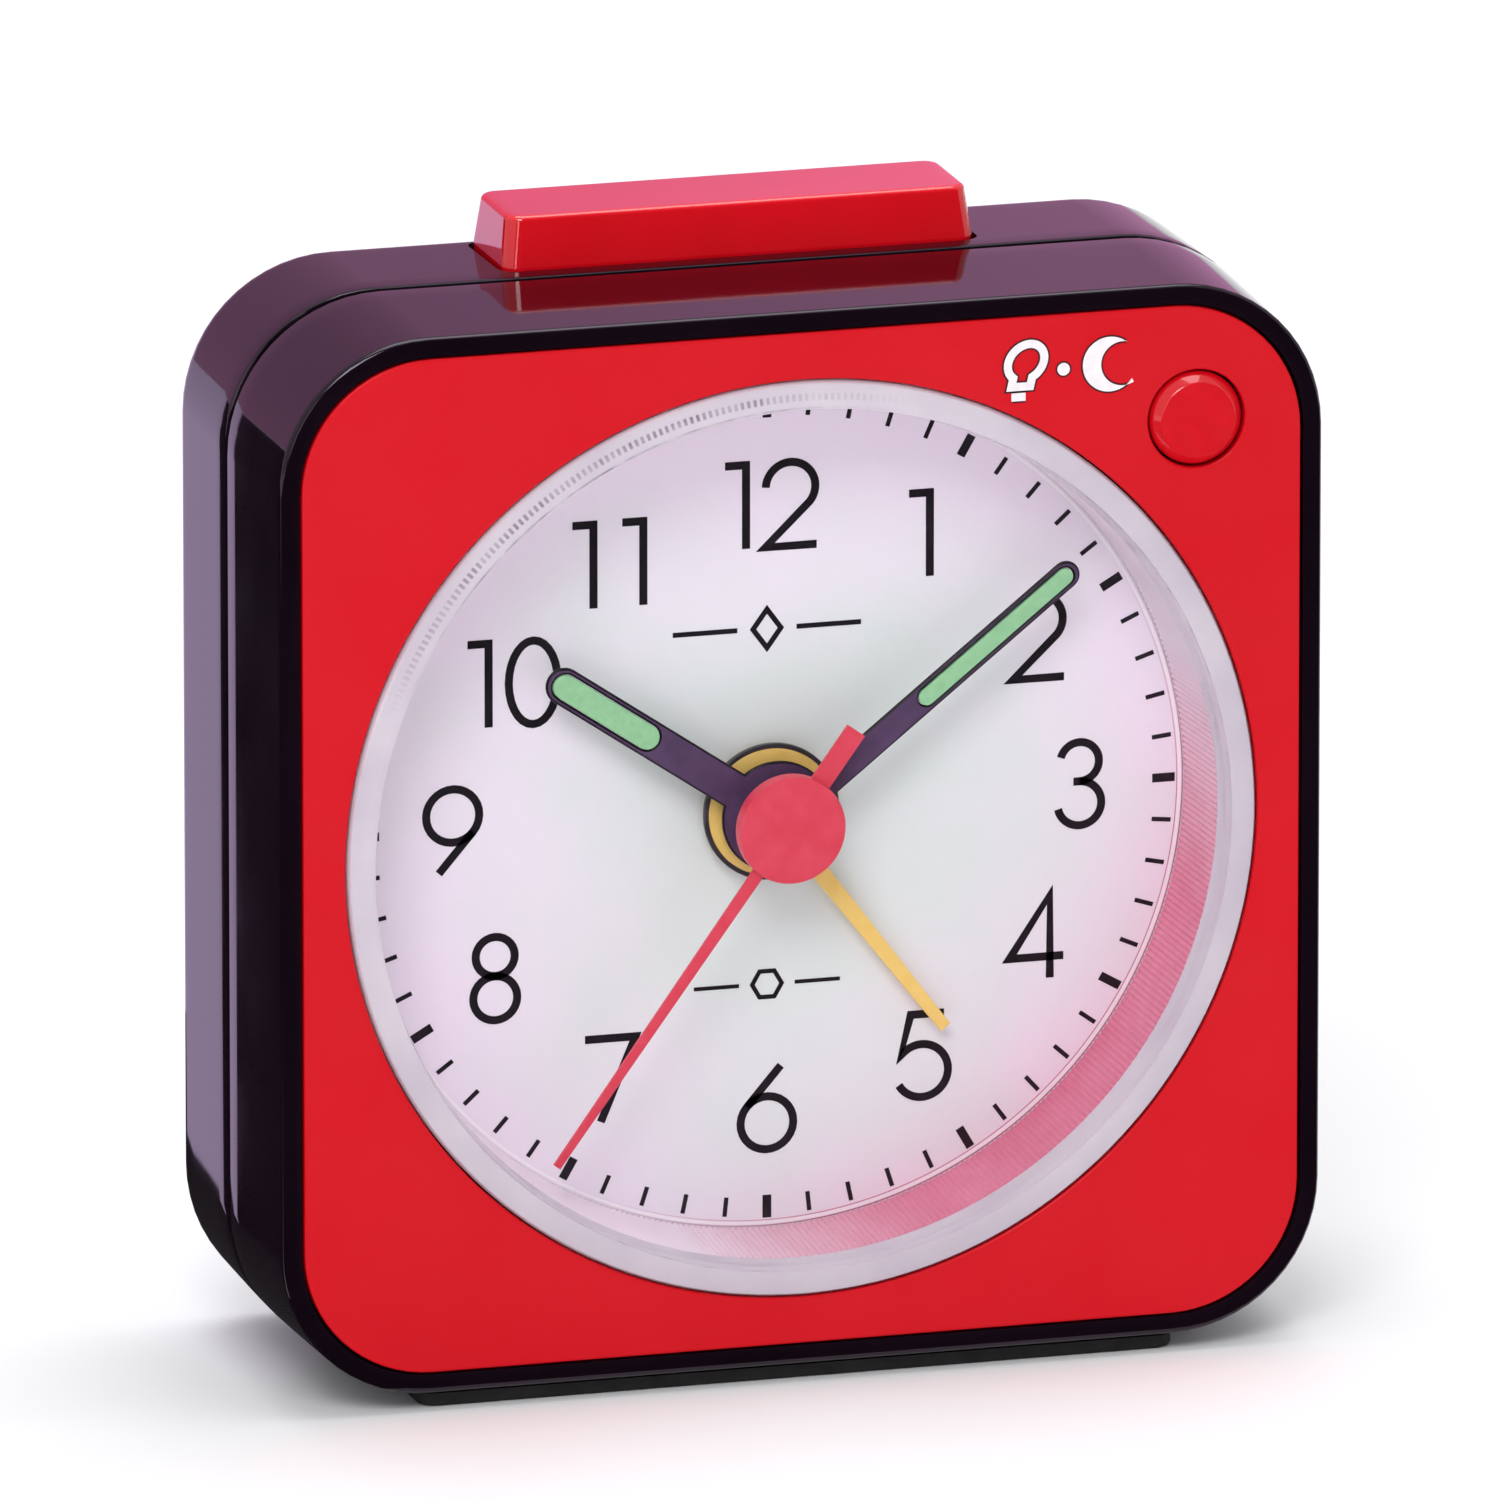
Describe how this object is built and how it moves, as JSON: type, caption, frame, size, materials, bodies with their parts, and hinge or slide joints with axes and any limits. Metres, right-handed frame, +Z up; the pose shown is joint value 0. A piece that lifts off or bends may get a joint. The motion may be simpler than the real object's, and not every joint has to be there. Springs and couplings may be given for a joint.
{
  "type": "travel alarm clock",
  "caption": "Small square quartz travel alarm clock with a round dial, four hands, a top snooze bar, a front light button and setting knobs behind.",
  "frame": {"origin": "middle of the clock's footprint, on the surface that its feet stand on", "axes": "+X to the right as the dial is read, +Y from the dial to the back, +Z up"},
  "size_m": [0.06, 0.0242, 0.0641],
  "materials": {
    "case_black": "glossy aubergine black",
    "panel_red": "glossy red",
    "crystal": "clear acrylic",
    "ring_pink": "reeded, satin",
    "dial_white": "satin silvery white, printed",
    "bar_red": "translucent red acrylic",
    "black_rubber": "matte",
    "black_plastic": "satin",
    "white_plastic": "satin",
    "yellow_brass": "satin",
    "steel": "bright",
    "iron": "dull",
    "copper": "enamelled copper wire",
    "board_green": "green solder mask",
    "hand_black": "gloss black",
    "lume_green": "luminous paint",
    "hand_yellow": "satin yellow",
    "hand_red": "satin red",
    "battery_sleeve": "printed sleeve"
  },
  "bodies": {
    "case": {"front_bezel": "case_black", "front_panel": "panel_red", "crystal": "crystal", "dial_ring": "ring_pink", "dial": "dial_white", "rear_shell": "case_black", "foot_front": "black_rubber", "foot_rear": "black_rubber", "case_screw_1": "steel", "case_screw_2": "steel", "case_screw_3": "steel", "case_screw_4": "steel", "snooze_spring_1": "steel", "snooze_spring_2": "steel", "snooze_contact": "yellow_brass", "light_contact": "yellow_brass", "dial_lamp": "white_plastic", "movement_front_plate": "white_plastic", "movement_back_plate": "white_plastic", "plate_screw_1": "steel", "plate_screw_2": "steel", "movement_screw_1": "steel", "movement_screw_2": "steel", "movement_screw_3": "steel", "movement_screw_4": "steel", "circuit_board": "board_green", "quartz_can": "steel", "clock_chip": "black_plastic", "buzzer": "yellow_brass", "stator": "iron", "coil_core": "iron", "coil_bobbin": "white_plastic", "coil_winding": "copper", "battery": "battery_sleeve", "battery_spring": "steel", "battery_contact": "steel"},
    "minutes": {"center_wheel": "yellow_brass", "cannon_pinion": "white_plastic", "minute_hand": "hand_black", "minute_hand_lume": "lume_green"},
    "third": {"third_wheel": "white_plastic"},
    "seconds": {"second_wheel": "white_plastic", "second_hand": "hand_red"},
    "intermediate": {"intermediate_wheel": "white_plastic"},
    "rotor": {"rotor_pinion": "white_plastic", "rotor_magnet": "iron"},
    "motion_work": {"minute_wheel": "white_plastic", "time_setting_knob": "black_plastic"},
    "hours": {"hour_wheel": "white_plastic", "hour_hand": "hand_black", "hour_hand_lume": "lume_green"},
    "alarm_setting": {"alarm_setting_pinion": "white_plastic", "alarm_setting_knob": "black_plastic"},
    "alarm": {"alarm_wheel": "white_plastic", "alarm_hand": "hand_yellow"},
    "snooze": {"snooze_bar": "bar_red"},
    "light": {"light_button": "panel_red"},
    "switch": {"alarm_switch": "black_plastic"},
    "door": {"battery_door": "black_plastic"}
  },
  "joints": [
    {"name": "minute_turn", "type": "hinge", "parent": "case", "child": "minutes", "pos_m": [0, 0, 0.031], "axis": [0, 1, 0], "continuous": true},
    {"name": "third_turn", "type": "hinge", "parent": "case", "child": "third", "pos_m": [0.00649, 0, 0.03749], "axis": [0, 1, 0], "continuous": true},
    {"name": "second_turn", "type": "hinge", "parent": "case", "child": "seconds", "pos_m": [0, 0, 0.031], "axis": [0, 1, 0], "continuous": true},
    {"name": "intermediate_turn", "type": "hinge", "parent": "case", "child": "intermediate", "pos_m": [-0.00668, 0, 0.03768], "axis": [0, 1, 0], "continuous": true},
    {"name": "rotor_turn", "type": "hinge", "parent": "case", "child": "rotor", "pos_m": [-0.01278, 0, 0.03715], "axis": [0, 1, 0], "continuous": true},
    {"name": "time_knob_turn", "type": "hinge", "parent": "case", "child": "motion_work", "pos_m": [0.00786, 0, 0.02549], "axis": [0, 1, 0], "continuous": true},
    {"name": "hour_turn", "type": "hinge", "parent": "case", "child": "hours", "pos_m": [0, 0, 0.031], "axis": [0, 1, 0], "continuous": true},
    {"name": "alarm_knob_turn", "type": "hinge", "parent": "case", "child": "alarm_setting", "pos_m": [-0.00803, 0, 0.02538], "axis": [0, 1, 0], "continuous": true},
    {"name": "alarm_turn", "type": "hinge", "parent": "case", "child": "alarm", "pos_m": [0, 0, 0.031], "axis": [0, 1, 0], "continuous": true},
    {"name": "snooze_press", "type": "slide", "parent": "case", "child": "snooze", "axis": [0, 0, -1], "range_m": [0, 0.001], "stiffness_N_per_m": 800, "springref_m": -0.001, "deforming": ["snooze_spring_1", "snooze_spring_2"]},
    {"name": "light_press", "type": "slide", "parent": "case", "child": "light", "axis": [0, 1, 0], "range_m": [0, 0.0005], "stiffness_N_per_m": 800, "springref_m": -0.001},
    {"name": "alarm_switch_slide", "type": "slide", "parent": "case", "child": "switch", "axis": [1, 0, 0], "range_m": [0, 0.003]},
    {"name": "battery_door_pull", "type": "slide", "parent": "case", "child": "door", "axis": [0, 1, 0], "range_m": [0, 0.015]}
  ],
  "couplings": [
    {"joint": "third_turn", "follows": "minute_turn", "ratio": -8},
    {"joint": "second_turn", "follows": "minute_turn", "ratio": 60},
    {"joint": "intermediate_turn", "follows": "minute_turn", "ratio": -360},
    {"joint": "rotor_turn", "follows": "minute_turn", "ratio": 1800},
    {"joint": "time_knob_turn", "follows": "minute_turn", "ratio": -0.33333},
    {"joint": "hour_turn", "follows": "minute_turn", "ratio": 0.083333},
    {"joint": "alarm_turn", "follows": "alarm_knob_turn", "ratio": -0.4}
  ]
}
